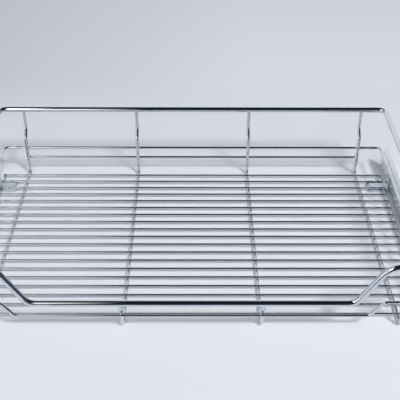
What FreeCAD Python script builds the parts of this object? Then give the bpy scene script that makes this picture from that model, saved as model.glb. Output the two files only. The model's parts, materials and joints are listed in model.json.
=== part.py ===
import FreeCAD, Part
import math
import os

# Pull-out pot basket of welded, chrome-plated steel wire on a pair of ball-bearing runners.
# Frame: X to the right, Y to the back, Z up. The origin is under the middle of the basket,
# on the level that its cross wires stand on. The basket pulls out towards -Y.
# All sizes are in millimetres.

V = FreeCAD.Vector

# Wire diameters
top_rod_d = 10.0
cross_wire_d = 6.0
middle_wire_d = 5.0
lower_wire_d = 5.0
border_wire_d = 5.0
floor_wire_d = 4.0

# Floor grid
cross_wire_count = 4
cross_wire_spacing = 211.0
floor_wire_count = 19
floor_wire_pitch = 20.65
side_overhang = 45.0

# Walls of the basket, heights are those of the wires' centre lines
upright_reach = 18.9
top_rail_setback = 15.25
top_rail_inset = 1.5
top_rail_height = 134.4
middle_rail_height = 56.0
lower_rail_height = 34.3
top_dip_height = 63.8
middle_dip_height = 29.0
top_dip_half_width = 239.2
top_dip_run = 40.0
middle_dip_half_width = 265.0
middle_dip_run = 19.0

# Bends, radii of the wires' centre lines
foot_bend = 8.0
jog_bend = 8.0
jog_start = 79.0
jog_rise = 15.5
short_jog_start = 36.5
top_corner_bend = 14.0
middle_corner_bend = 10.0
top_dip_upper_bend = 33.0
top_dip_lower_bend = 22.0
middle_dip_bend = 12.0

# Runner sections
runner_height = 45.0
runner_length = 450.0
runner_floor_gap = 0.5
runner_side_gap = 3.3
sheet = 1.2
channel_corner = 1.6
web_bend = 0.8
ball_d = 3.5
race_clearance = 0.15
travel = 440.0

# Angles of the runner sections, in degrees
race_wrap = 40.0
race_step = 60.0
drawer_wrap = 41.5
cabinet_lip = 15.0
drawer_lip = 160.0

# Ball cages
cage_sheet = 0.6
cage_gap = 0.3
cage_end_margin = 7.0
cage_grip = 0.9
pocket_clearance = 0.1
balls_per_row = 4
ball_end_margin = 15.0

# Rear bumpers
bumper_length = 7.5
bumper_gap = 0.3
bumper_half_height = 12.0
bumper_depth = 9.0
bumper_nose = 2.5

# Screw holes in the runner's cabinet member
cabinet_hole_d = 4.6
cabinet_hole_from_front = 37.0
cabinet_hole_spacing = 352.0
access_hole_d = 10.0

# Release levers on the drawer members
lever_pivot_y = -100.0
lever_boss_d = 6.0
lever_hub_d = 13.0
lever_sheet = 2.4
lever_arm_length = 36.0
lever_arm_height = 7.0
lever_pad_length = 8.0
lever_pad_depth = 4.6
lever_head_d = 8.0
lever_head_height = 1.0
lever_fit = 0.05
lever_edge = 1.0

# Fixing tabs, brackets and their fasteners
tab_sheet = 2.0
tab_width = 25.7
tab_lap = 2.5
tab_wire_gap = 0.3
tab_lip = 2.7
tab_corner = 4.0
tab_bend = 1.5
bracket_sheet = 2.0
bracket_width = 30.0
bracket_top_margin = 10.0
bracket_bend = 3.0
bracket_corner = 4.0
tongue_width = 14.0
tongue_end_margin = 3.0
tongue_corner = 3.0
screw_d = 4.0
screw_head_d = 7.5
screw_hole_clearance = 0.2
screw_end_gap = 0.5
nut_across_flats = 7.0
nut_height = 2.2
rivet_d = 4.0
rivet_head_d = 7.0
rivet_head_height = 1.2
rivet_spacing = 18.0

# Places that follow from the sizes above
floor_z = cross_wire_d + floor_wire_d / 2
first_floor_y = (floor_wire_count - 1) * floor_wire_pitch / 2
upright_y = first_floor_y + upright_reach
middle_rail_y = upright_y + cross_wire_d / 2 + middle_wire_d / 2
lower_rail_y = upright_y + cross_wire_d / 2 + lower_wire_d / 2
top_rail_y = upright_y + top_rail_setback
outer_cross_x = (cross_wire_count - 1) * cross_wire_spacing / 2
border_x = outer_cross_x + side_overhang
border_z = cross_wire_d - border_wire_d / 2
floor_half_width = border_x + border_wire_d / 2
top_rail_x = border_x - top_rail_inset
middle_rail_x = border_x

# Runner section in its own plane: u runs from the cabinet's side wall inwards, v runs up
# from the runner's middle height.
race_radius = ball_d / 2 + race_clearance + sheet / 2
race_pitch = 2 * race_radius
wrap = math.radians(race_wrap)
step = math.radians(race_step)
drawer_turn = math.radians(drawer_wrap)
middle_web_u = sheet + cage_gap + cage_sheet + cage_gap + sheet / 2
outer_row_u = middle_web_u + web_bend + (web_bend + race_radius) * math.cos(wrap)
outer_row_v = runner_height / 2 - sheet / 2 - race_radius
inner_row_u = outer_row_u + race_pitch * math.cos(step)
inner_row_v = outer_row_v - race_pitch * math.sin(step)
drawer_web_u = inner_row_u + (web_bend + race_radius) * math.cos(drawer_turn) + web_bend
runner_depth = drawer_web_u + sheet / 2
wall_x = floor_half_width + runner_side_gap + bracket_sheet + runner_depth
runner_z = runner_floor_gap + runner_height / 2
runner_back_y = runner_length / 2 - bumper_length - bumper_gap
tab_y = first_floor_y - 1.5 * floor_wire_pitch
tab_outer_x = border_x - border_wire_d / 2 - tab_wire_gap
tab_inner_x = tab_outer_x - tab_width
tongue_end_x = tab_inner_x + tongue_end_margin
screw_x = (tongue_end_x + tab_outer_x) / 2
tab_top_z = cross_wire_d
tongue_top_z = tab_top_z + bracket_sheet
front_screw_y = -runner_length / 2 + cabinet_hole_from_front
outer_access_y = front_screw_y + travel / 4
middle_access_y = front_screw_y + travel / 2
cage_length = 2 * (abs(outer_access_y) + access_hole_d / 2 + cage_end_margin)


# Straight and bent wires

def rod(start, end, diameter):
    """A straight round wire from one point to another."""
    axis = end.sub(start)
    return Part.makeCylinder(diameter / 2, axis.Length, start, axis)


def rounded_path(points, radii):
    """A wire of straight runs joined by tangent arcs; radii has one value for each inner point."""
    edges = []
    here = points[0]
    for i, radius in enumerate(radii):
        corner = points[i + 1]
        back = points[i].sub(corner).normalize()
        on = points[i + 2].sub(corner).normalize()
        half = back.getAngle(on) / 2
        reach = radius / math.tan(half)
        begin = corner.add(V(back).multiply(reach))
        end = corner.add(V(on).multiply(reach))
        middle_way = back.add(on).normalize()
        crown = corner.add(V(middle_way).multiply(radius / math.sin(half) - radius))
        edges.append(Part.LineSegment(here, begin).toShape())
        edges.append(Part.Arc(begin, crown, end).toShape())
        here = end
    edges.append(Part.LineSegment(here, points[-1]).toShape())
    return Part.Wire(edges)


def bent_rod(points, radii, diameter):
    """A round wire bent along straight runs and tangent arcs."""
    path = rounded_path(points, radii)
    along = points[1].sub(points[0])
    ring = Part.Wire([Part.makeCircle(diameter / 2, points[0], along)])
    return path.makePipeShell([ring], True, False)


def rail_loop(half_points, radii, diameter):
    """A closed rail from its right half, which runs from the back middle to the front middle."""
    right = bent_rod(half_points, radii, diameter)
    left = right.mirror(V(0, 0, 0), V(1, 0, 0))
    return right.fuse(left).removeSplitter().Solids[0]


def top_rail():
    """The thick rim rod: level round three sides, dipped at the front."""
    y = top_rail_y
    slope_top = top_dip_half_width + top_dip_run
    points = [
        V(0, y, top_rail_height),
        V(top_rail_x, y, top_rail_height),
        V(top_rail_x, -y, top_rail_height),
        V(slope_top, -y, top_rail_height),
        V(top_dip_half_width, -y, top_dip_height),
        V(0, -y, top_dip_height),
    ]
    radii = [top_corner_bend, top_corner_bend, top_dip_upper_bend, top_dip_lower_bend]
    return rail_loop(points, radii, top_rod_d)


def middle_rail():
    """The thinner rail at half height, outside the uprights, dipped at the front as well."""
    y = middle_rail_y
    slope_top = middle_dip_half_width + middle_dip_run
    points = [
        V(0, y, middle_rail_height),
        V(middle_rail_x, y, middle_rail_height),
        V(middle_rail_x, -y, middle_rail_height),
        V(slope_top, -y, middle_rail_height),
        V(middle_dip_half_width, -y, middle_dip_height),
        V(0, -y, middle_dip_height),
    ]
    radii = [middle_corner_bend, middle_corner_bend, middle_dip_bend, middle_dip_bend]
    return rail_loop(points, radii, middle_wire_d)


def lower_back_rail():
    """The low wire behind the uprights, cut off flush with the outer two."""
    reach = outer_cross_x + cross_wire_d / 2
    y = lower_rail_y
    return rod(V(-reach, y, lower_rail_height), V(reach, y, lower_rail_height), lower_wire_d)


def leg_points(x, side, rail_height, jog_z):
    """One upright of a cross wire from its rail down to the floor, on the side given by +1 or -1."""
    return [
        V(x, side * top_rail_y, rail_height),
        V(x, side * top_rail_y, jog_z + jog_rise),
        V(x, side * upright_y, jog_z),
        V(x, side * upright_y, cross_wire_d / 2),
    ]


def cross_wire(x, rim):
    """A U-shaped wire from the back rim under the floor to the front rim, coped to the rim."""
    dipped = abs(x) < top_dip_half_width
    front_height = top_dip_height if dipped else top_rail_height
    front_jog = short_jog_start if dipped else jog_start
    back = leg_points(x, 1, top_rail_height, jog_start)
    front = leg_points(x, -1, front_height, front_jog)
    radii = [jog_bend, jog_bend, foot_bend, foot_bend, jog_bend, jog_bend]
    wire = bent_rod(back + front[::-1], radii, cross_wire_d).cut(rim)
    return max(wire.Solids, key=lambda solid: solid.Volume)


def floor_wire(y):
    """One straight wire of the floor, welded on top of the cross wires."""
    return rod(V(-floor_half_width, y, floor_z), V(floor_half_width, y, floor_z), floor_wire_d)


def border_wire(side):
    """The wire under the floor wires' ends, on the side given by +1 or -1."""
    reach = first_floor_y + floor_wire_d / 2
    x = side * border_x
    return rod(V(x, -reach, border_z), V(x, reach, border_z), border_wire_d)


# Fixing tabs and brackets

def plate(low, high):
    """A rectangular block between two opposite corners."""
    size = high.sub(low)
    return Part.makeBox(size.x, size.y, size.z, low)


def round_edges(solid, radius, along, test):
    """Round the straight edges along one axis that a test on their middle picks."""
    picked = []
    for edge in solid.Edges:
        if len(edge.Vertexes) < 2:
            continue
        way = edge.Vertexes[1].Point.sub(edge.Vertexes[0].Point)
        if way.Length > 0 and abs(way.normalize().dot(along)) > 0.999 and test(edge.CenterOfMass):
            picked.append(edge)
    return solid.makeFillet(radius, picked)


def to_place(solid, side, end):
    """Copy a piece made at the right rear to the side and the end given by +1 or -1."""
    if side < 0:
        solid = solid.mirror(V(0, 0, 0), V(1, 0, 0))
    if end < 0:
        solid = solid.mirror(V(0, 0, 0), V(0, 1, 0))
    return solid


def fixing_tab(side, end):
    """A sheet tab under two neighbouring floor wires, its lip turned down on the inner edge."""
    half = floor_wire_pitch / 2 + tab_lap
    bottom = tab_top_z - tab_sheet
    flat = plate(V(tab_inner_x, tab_y - half, bottom), V(tab_outer_x, tab_y + half, tab_top_z))
    flat = round_edges(flat, tab_corner, V(0, 0, 1), lambda c: c.x < screw_x and c.y > tab_y)
    lip_low = V(tab_inner_x, tab_y - half, tab_top_z - tab_sheet - tab_lip)
    lip = plate(lip_low, V(tab_outer_x, tab_y - half + tab_sheet, tab_top_z))
    tab = flat.fuse(lip).removeSplitter()
    tab = round_edges(tab, tab_bend, V(1, 0, 0),
                      lambda c: c.z > tab_top_z - 0.01 and c.y < tab_y)
    hole_r = screw_d / 2 + screw_hole_clearance
    hole = Part.makeCylinder(hole_r, tab_top_z + 1, V(screw_x, tab_y, 0))
    return to_place(tab.cut(hole), side, end)


def strip_face(start, segments, thickness, place):
    """The section of a bent sheet, thickened to both sides of a tangent path of lines and arcs.

    start is the first point. A segment is ("line", point) or ("arc", centre, radius, a0, a1)
    with angles in degrees. place turns a point of the section into a point in space."""
    left, right = [], []
    here = start
    half = thickness / 2
    for segment in segments:
        if segment[0] == "line":
            point = segment[1]
            length = math.hypot(point[0] - here[0], point[1] - here[1])
            nx = -(point[1] - here[1]) / length * half
            ny = (point[0] - here[0]) / length * half
            ends = [(here[0] + nx, here[1] + ny), (point[0] + nx, point[1] + ny)]
            left.append(Part.LineSegment(place(ends[0]), place(ends[1])).toShape())
            ends = [(here[0] - nx, here[1] - ny), (point[0] - nx, point[1] - ny)]
            right.append(Part.LineSegment(place(ends[0]), place(ends[1])).toShape())
            here = point
        else:
            centre, radius, a0, a1 = segment[1:]
            turn = 1 if a1 > a0 else -1
            for edges, r in ((left, radius - turn * half), (right, radius + turn * half)):
                spots = []
                for angle in (a0, (a0 + a1) / 2, a1):
                    rad = math.radians(angle)
                    spots.append(place((centre[0] + r * math.cos(rad), centre[1] + r * math.sin(rad))))
                edges.append(Part.Arc(*spots).toShape())
            rad = math.radians(a1)
            here = (centre[0] + radius * math.cos(rad), centre[1] + radius * math.sin(rad))
    caps = []
    for i, pick in ((0, 0), (-1, -1)):
        caps.append(Part.LineSegment(left[i].Vertexes[pick].Point, right[i].Vertexes[pick].Point).toShape())
    edges = Part.sortEdges(left + right + caps)[0]
    return Part.Face(Part.Wire(edges))


def fixing_bracket(side, end):
    """The L-shaped bracket of the runner: a plate on the drawer member, a tongue on the tab."""
    mid_x = wall_x - runner_depth - bracket_sheet / 2
    mid_z = tab_top_z + bracket_sheet / 2
    bend = bracket_bend
    top_z = runner_z + bracket_top_margin
    path = [
        ("line", (mid_x, mid_z + bend)),
        ("arc", (mid_x - bend, mid_z + bend), bend, 0, -90),
        ("line", (tongue_end_x, mid_z)),
    ]
    low_y = tab_y - bracket_width / 2
    face = strip_face((mid_x, top_z), path, bracket_sheet, lambda p: V(p[0], low_y, p[1]))
    bracket = face.extrude(V(0, bracket_width, 0))
    shoulder_x = mid_x - bend
    waste = (bracket_width - tongue_width) / 2
    for y0 in (low_y, low_y + bracket_width - waste):
        corner = V(tongue_end_x - 1, y0, tab_top_z - 1)
        bracket = bracket.cut(plate(corner, V(shoulder_x, y0 + waste, tongue_top_z + 1)))
    bracket = round_edges(bracket, tongue_corner, V(0, 0, 1), lambda c: c.x < tongue_end_x + 0.1)
    bracket = round_edges(bracket, bracket_corner, V(1, 0, 0), lambda c: c.z > top_z - 0.1)
    cone_depth = (screw_head_d - screw_d) / 2
    sink_low = V(screw_x, tab_y, tongue_top_z - cone_depth)
    sink = Part.makeCone(screw_d / 2, screw_head_d / 2, cone_depth, sink_low)
    bore = Part.makeCylinder(screw_d / 2, bracket_sheet + 2, V(screw_x, tab_y, tab_top_z - 1))
    bracket = bracket.cut(sink).cut(bore)
    for y in rivet_rows():
        hole = Part.makeCylinder(rivet_d / 2, bracket_sheet + 2, V(mid_x - 2, y, runner_z), V(1, 0, 0))
        bracket = bracket.cut(hole)
    return to_place(bracket, side, end)


def rivet_rows():
    """The places along the runner of a rear bracket's two rivets."""
    return (tab_y - rivet_spacing / 2, tab_y + rivet_spacing / 2)


def bracket_rivet(y):
    """A domed rivet through the drawer member's web and the right rear bracket's plate."""
    inner = wall_x - drawer_web_u + sheet / 2
    outer = wall_x - runner_depth - bracket_sheet
    r = rivet_d / 2
    head = rivet_head_d / 2
    h = rivet_head_height
    start = V(inner + h, y, runner_z)
    profile = [
        Part.LineSegment(start, V(inner + h, y, runner_z + head - h)).toShape(),
        Part.LineSegment(V(inner + h, y, runner_z + head - h), V(inner, y, runner_z + head)).toShape(),
        Part.LineSegment(V(inner, y, runner_z + head), V(inner, y, runner_z + r)).toShape(),
        Part.LineSegment(V(inner, y, runner_z + r), V(outer, y, runner_z + r)).toShape(),
        Part.LineSegment(V(outer, y, runner_z + r), V(outer, y, runner_z + head)).toShape(),
        Part.LineSegment(V(outer, y, runner_z + head), V(outer - h, y, runner_z + head - h)).toShape(),
        Part.LineSegment(V(outer - h, y, runner_z + head - h), V(outer - h, y, runner_z)).toShape(),
        Part.LineSegment(V(outer - h, y, runner_z), start).toShape(),
    ]
    face = Part.Face(Part.Wire(profile))
    return face.revolve(V(0, y, runner_z), V(1, 0, 0), 360)


def tab_screw():
    """A countersunk screw, flush in the right rear bracket's tongue, down through the tab."""
    cone_depth = (screw_head_d - screw_d) / 2
    cone_z = tongue_top_z - cone_depth
    head = Part.makeCone(screw_d / 2, screw_head_d / 2, cone_depth, V(screw_x, tab_y, cone_z))
    shank = Part.makeCylinder(screw_d / 2, cone_z - screw_end_gap, V(screw_x, tab_y, screw_end_gap))
    return head.fuse(shank)


def tab_nut():
    """A thin hexagon nut under the right rear tab."""
    top = tab_top_z - tab_sheet
    corners = []
    reach = nut_across_flats / 2 / math.cos(math.pi / 6)
    for i in range(7):
        angle = math.pi / 3 * i
        spot = V(screw_x + reach * math.cos(angle), tab_y + reach * math.sin(angle), top - nut_height)
        corners.append(spot)
    nut = Part.Face(Part.makePolygon(corners)).extrude(V(0, 0, nut_height))
    bore = Part.makeCylinder(screw_d / 2, nut_height + 2, V(screw_x, tab_y, top - nut_height - 1))
    return nut.cut(bore)


# Ball-bearing runners

def runner_point(y):
    """A function that turns a point of the right runner's section at y into a point in space."""
    return lambda p: V(wall_x - p[0], y, runner_z + p[1])


def member(start_u, segments, y0, y1, side):
    """A rolled section: the upper half of its sheet, mirrored about the middle height."""
    face = strip_face((start_u, 0), segments, sheet, runner_point(y0))
    upper = face.extrude(V(0, y1 - y0, 0))
    lower = upper.mirror(V(0, 0, runner_z), V(0, 0, 1))
    section = upper.fuse(lower).removeSplitter().Solids[0]
    return to_place(section, side, 1)


def screw_places():
    """The places along the runner of the cabinet member's two screw holes."""
    return (front_screw_y, front_screw_y + cabinet_hole_spacing)


def web_hole(u, y, diameter):
    """A cutter for a round hole at y through a web whose cabinet side is at u."""
    start = V(wall_x - u - 2 * sheet, y, runner_z)
    return Part.makeCylinder(diameter / 2, 3 * sheet, start, V(1, 0, 0))


def cabinet_member(side):
    """The outer channel, screwed to the cabinet's side wall."""
    mid = sheet / 2
    top = runner_height / 2 - mid
    corner = (mid + channel_corner, top - channel_corner)
    path = [
        ("line", (mid, corner[1])),
        ("arc", corner, channel_corner, 180, 90),
        ("line", (outer_row_u, top)),
        ("arc", (outer_row_u, outer_row_v), race_radius, 90, -cabinet_lip),
    ]
    channel = member(mid, path, -runner_length / 2, runner_length / 2, 1)
    for y in screw_places():
        channel = channel.cut(web_hole(0, y, cabinet_hole_d))
    return to_place(channel, side, 1)


def middle_member(side):
    """The section between the two ball rows, which follows at half the basket's travel.

    Pulled out, its round hole lies over the cabinet member's front screw."""
    bend_v = outer_row_v - (web_bend + race_radius) * math.sin(wrap)
    path = [
        ("line", (middle_web_u, bend_v)),
        ("arc", (middle_web_u + web_bend, bend_v), web_bend, 180, race_wrap),
        ("arc", (outer_row_u, outer_row_v), race_radius, 180 + race_wrap, 360 - race_step),
        ("arc", (inner_row_u, inner_row_v), race_radius, 180 - race_step, 0),
    ]
    section = member(middle_web_u, path, -runner_length / 2, runner_back_y, 1)
    hole = web_hole(middle_web_u - sheet / 2, middle_access_y, access_hole_d)
    return to_place(section.cut(hole), side, 1)


def drawer_member(side):
    """The inner channel, riveted to the basket's brackets."""
    bend_v = inner_row_v - (web_bend + race_radius) * math.sin(drawer_turn)
    path = [
        ("line", (drawer_web_u, bend_v)),
        ("arc", (drawer_web_u - web_bend, bend_v), web_bend, 0, 180 - drawer_wrap),
        ("arc", (inner_row_u, inner_row_v), race_radius, -drawer_wrap, -drawer_lip),
    ]
    channel = member(drawer_web_u, path, -runner_length / 2, runner_back_y, 1)
    web_face = drawer_web_u - sheet / 2
    for end in (1, -1):
        for y in rivet_rows():
            channel = channel.cut(web_hole(web_face, end * y, rivet_d))
    channel = channel.cut(web_hole(web_face, lever_pivot_y, lever_boss_d + 2 * lever_fit))
    return to_place(channel, side, 1)


def release_lever(side):
    """The moulded lever on the drawer member's web that frees the basket from its runners.

    Its hub turns on a boss that is snapped through the web, and its arm ends in a thumb pad."""
    face = wall_x - drawer_web_u + sheet / 2
    pivot = V(face, lever_pivot_y, runner_z)
    end_y = lever_pivot_y - lever_arm_length
    half = lever_arm_height / 2
    arm = plate(V(face, end_y, runner_z - half), V(face + lever_sheet, lever_pivot_y, runner_z + half))
    pad_y = end_y + lever_pad_length
    pad = plate(V(face, end_y, runner_z - half), V(face + lever_pad_depth, pad_y, runner_z + half))
    arm = arm.fuse(pad).removeSplitter()
    arm = round_edges(arm, lever_edge, V(1, 0, 0), lambda c: c.y < pad_y)
    arm = round_edges(arm, lever_edge, V(0, 0, 1), lambda c: c.x > face + lever_sheet + lever_edge)
    hub = Part.makeCylinder(lever_hub_d / 2, lever_sheet, pivot, V(1, 0, 0))
    boss = Part.makeCylinder(lever_boss_d / 2, sheet, pivot, V(-1, 0, 0))
    head_start = V(face - sheet, lever_pivot_y, runner_z)
    head = Part.makeCylinder(lever_head_d / 2, lever_head_height, head_start, V(-1, 0, 0))
    lever = arm.fuse(hub).fuse(boss).fuse(head).removeSplitter()
    return to_place(lever.Solids[0], side, 1)


def ball_places():
    """The places along a cage of the balls in one row."""
    run = cage_length - 2 * ball_end_margin
    return [-run / 2 + run * i / (balls_per_row - 1) for i in range(balls_per_row)]


def ball_cage(web_u, row_u, row_v):
    """A U-shaped cage strip whose two arms hold a row of balls each in open pockets."""
    half = cage_length / 2
    reach = row_v + cage_sheet / 2
    web = plate(V(wall_x - web_u - cage_sheet, -half, runner_z - reach),
                V(wall_x - web_u, half, runner_z + reach))
    cage = web
    for flip in (1, -1):
        z = runner_z + flip * row_v
        low = V(wall_x - row_u - cage_grip, -half, z - cage_sheet / 2)
        cage = cage.fuse(plate(low, V(wall_x - web_u, half, z + cage_sheet / 2)))
    cage = cage.removeSplitter()
    pocket_r = ball_d / 2 + pocket_clearance
    for flip in (1, -1):
        for y in ball_places():
            low = V(wall_x - row_u, y, runner_z + flip * row_v - cage_sheet)
            cage = cage.cut(Part.makeCylinder(pocket_r, 2 * cage_sheet, low))
    return cage


def outer_cage(side):
    """The cage between cabinet and middle member, with a hole for the same front screw."""
    web_u = sheet + cage_gap
    hole = web_hole(web_u, outer_access_y, access_hole_d)
    return to_place(ball_cage(web_u, outer_row_u, outer_row_v).cut(hole), side, 1)


def inner_cage(side):
    """The cage between middle and drawer member."""
    web_u = middle_web_u + sheet / 2 + cage_gap
    return to_place(ball_cage(web_u, inner_row_u, inner_row_v), side, 1)


def ball_rows(row_u, row_v, side):
    """The balls of one cage, an upper and a lower row."""
    balls = []
    for flip in (1, -1):
        for y in ball_places():
            centre = V(wall_x - row_u, y, runner_z + flip * row_v)
            balls.append(to_place(Part.makeSphere(ball_d / 2, centre), side, 1))
    return Part.makeCompound(balls)


def rear_bumper(side):
    """The moulded stop inside the back end of the cabinet member, with a rounded nose."""
    back = runner_length / 2
    low = V(wall_x - sheet - bumper_depth, back - bumper_length, runner_z - bumper_half_height)
    block = plate(low, V(wall_x - sheet, back, runner_z + bumper_half_height))
    block = round_edges(block, bumper_nose, V(1, 0, 0), lambda c: c.y < back - bumper_length / 2)
    return to_place(block, side, 1)


# The assembly

def basket_pieces():
    """The welded basket, by node name."""
    rim = top_rail()
    pieces = {"top_rail": rim, "middle_rail": middle_rail(), "lower_back_rail": lower_back_rail()}
    for i in range(cross_wire_count):
        x = -outer_cross_x + i * cross_wire_spacing
        pieces[f"cross_wire_{i + 1}"] = cross_wire(x, rim)
    for i in range(floor_wire_count):
        pieces[f"floor_wire_{i + 1:02d}"] = floor_wire(first_floor_y - i * floor_wire_pitch)
    for name, side in (("left", -1), ("right", 1)):
        pieces[f"{name}_border_wire"] = border_wire(side)
        pieces[f"{name}_rear_tab"] = fixing_tab(side, 1)
        pieces[f"{name}_front_tab"] = fixing_tab(side, -1)
    return pieces


def runner_pieces(name, side):
    """One runner with its brackets, by node name."""
    rivets = []
    for end in (1, -1):
        for y in rivet_rows():
            rivets.append(to_place(bracket_rivet(y), side, end))
    return {
        f"{name}_cabinet_member": cabinet_member(side),
        f"{name}_middle_member": middle_member(side),
        f"{name}_drawer_member": drawer_member(side),
        f"{name}_outer_cage": outer_cage(side),
        f"{name}_inner_cage": inner_cage(side),
        f"{name}_outer_balls": ball_rows(outer_row_u, outer_row_v, side),
        f"{name}_inner_balls": ball_rows(inner_row_u, inner_row_v, side),
        f"{name}_rear_bumper": rear_bumper(side),
        f"{name}_release_lever": release_lever(side),
        f"{name}_rear_bracket": fixing_bracket(side, 1),
        f"{name}_front_bracket": fixing_bracket(side, -1),
        f"{name}_bracket_rivets": Part.makeCompound(rivets),
    }


def fastener_pieces():
    """The screws and nuts that hold the four tabs to their brackets."""
    corners = [(side, end) for side in (-1, 1) for end in (-1, 1)]
    screws = [to_place(tab_screw(), side, end) for side, end in corners]
    nuts = [to_place(tab_nut(), side, end) for side, end in corners]
    return {"tab_screws": Part.makeCompound(screws), "tab_nuts": Part.makeCompound(nuts)}


def main():
    """Write every piece of the basket and its runners."""
    os.makedirs("parts", exist_ok=True)
    pieces = basket_pieces()
    pieces.update(runner_pieces("left", -1))
    pieces.update(runner_pieces("right", 1))
    pieces.update(fastener_pieces())
    for node, shape in pieces.items():
        shape.exportStep(f"parts/{node}.step")
    print("nodes", len(pieces))
    print("overall width", round(2 * wall_x, 2), "runner depth", round(runner_depth, 2))


main()
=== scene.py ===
import json
import math

import bmesh
import bpy
from mathutils import Matrix, Vector


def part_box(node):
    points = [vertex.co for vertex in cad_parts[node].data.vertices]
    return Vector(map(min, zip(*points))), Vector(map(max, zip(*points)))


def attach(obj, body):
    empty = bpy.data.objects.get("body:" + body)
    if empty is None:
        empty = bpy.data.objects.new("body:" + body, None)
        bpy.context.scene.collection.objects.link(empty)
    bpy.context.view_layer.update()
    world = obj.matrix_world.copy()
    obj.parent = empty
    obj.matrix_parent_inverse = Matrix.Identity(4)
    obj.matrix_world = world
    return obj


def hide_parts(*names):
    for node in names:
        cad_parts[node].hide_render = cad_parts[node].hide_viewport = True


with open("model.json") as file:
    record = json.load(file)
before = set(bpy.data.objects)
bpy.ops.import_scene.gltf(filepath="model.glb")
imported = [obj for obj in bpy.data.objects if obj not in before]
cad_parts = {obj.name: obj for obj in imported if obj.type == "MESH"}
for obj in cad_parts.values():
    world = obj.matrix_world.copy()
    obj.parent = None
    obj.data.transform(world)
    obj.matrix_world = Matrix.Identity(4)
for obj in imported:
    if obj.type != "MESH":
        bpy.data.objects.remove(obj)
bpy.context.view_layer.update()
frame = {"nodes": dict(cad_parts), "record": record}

bl_info = {
    "name": "Pull-out pot basket",
    "version": (1, 0, 0),
    "blender": (4, 5, 0),
    "location": "3D View > Sidebar > Pot basket",
    "description": "Finishes a chrome wire basket on runners and lays out its pale studio",
    "category": "Object",
}

NODES = frame["nodes"]
BASKET = "basket"
DIPPED_WIRES = ("cross_wire_2", "cross_wire_3")

# Fasteners, and the sheet of the tongues that they go through, in metres
TONGUE_SHEET = 0.002
SCREW_HEAD_R = 0.00375
SCREW_R = 0.002
SCREW_LAND = 0.0002
SCREW_CHAMFER = 0.0003
RECESS_ARM = 0.0019
RECESS_HALF = 0.00048
RECESS_DEPTH = 0.0011
RECESS_TAPER = 0.62
NUT_HALF_FLATS = 0.0035
NUT_BEVEL = 0.0003
ROUND_SEGMENTS = 24
CORNER_ANGLE = math.radians(35)

# Where the two weld beads lie on each tab, as shares of its width
TAB_BEADS = (0.3, 0.7)

# Factors from a colour to its streaks, and from bright zinc to dull cage strip
CHROME_STREAK = 0.985
BRACKET_STREAK = 0.92
CAGE_SHADE = 0.86

# What scuffs add to the plastic's colour, and how much finer grain is than the smudges
SCUFF = 0.03
SMUDGE_GRAIN = 14.0


# Sizes and colours that a user would change

class WireFinish(bpy.types.PropertyGroup):
    """Bright chrome plating of the welded basket."""

    colour: bpy.props.FloatVectorProperty(
        name="Chrome colour", description="Reflected colour of the plating",
        subtype="COLOR", size=3, default=(0.68, 0.71, 0.75), min=0.0, max=1.0)
    roughness: bpy.props.FloatProperty(
        name="Roughness", description="Blur of the cleanest plating",
        default=0.025, min=0.0, max=1.0)
    smudge: bpy.props.FloatProperty(
        name="Smudge", description="Roughness that handling marks add",
        default=0.07, min=0.0, max=1.0)
    ripple: bpy.props.FloatProperty(
        name="Ripple", description="Height of the ripple left by wire drawing",
        default=0.000004, min=0.0, unit="LENGTH", precision=6)
    tab: bpy.props.FloatVectorProperty(
        name="Tab colour", description="Chrome over the pressed sheet of the tabs",
        subtype="COLOR", size=3, default=(0.67, 0.705, 0.765), min=0.0, max=1.0)
    tab_streaks: bpy.props.FloatVectorProperty(
        name="Tab streak colour", description="Colour of the streaks on the tabs",
        subtype="COLOR", size=3, default=(0.61, 0.64, 0.70), min=0.0, max=1.0)
    weld: bpy.props.FloatVectorProperty(
        name="Weld colour", description="Chrome over a weld bead",
        subtype="COLOR", size=3, default=(0.80, 0.815, 0.84), min=0.0, max=1.0)
    weld_streaks: bpy.props.FloatVectorProperty(
        name="Weld streak colour", description="Colour of the streaks on a weld bead",
        subtype="COLOR", size=3, default=(0.66, 0.675, 0.70), min=0.0, max=1.0)


class WeldSizes(bpy.types.PropertyGroup):
    """The small beads where wires cross."""

    crossing_reach: bpy.props.FloatProperty(
        name="Crossing bead reach", description="Half width of a bead under a floor wire",
        default=0.0022, min=0.0005, unit="LENGTH", precision=4)
    crossing_height: bpy.props.FloatProperty(
        name="Crossing bead height", description="Half height of a bead under a floor wire",
        default=0.0008, min=0.0002, unit="LENGTH", precision=4)
    collar_reach: bpy.props.FloatProperty(
        name="Collar reach", description="Half width of the weld where an upright meets the rim",
        default=0.0036, min=0.0005, unit="LENGTH", precision=4)
    collar_height: bpy.props.FloatProperty(
        name="Collar height", description="Half height of the weld where an upright meets the rim",
        default=0.0014, min=0.0002, unit="LENGTH", precision=4)


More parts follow.
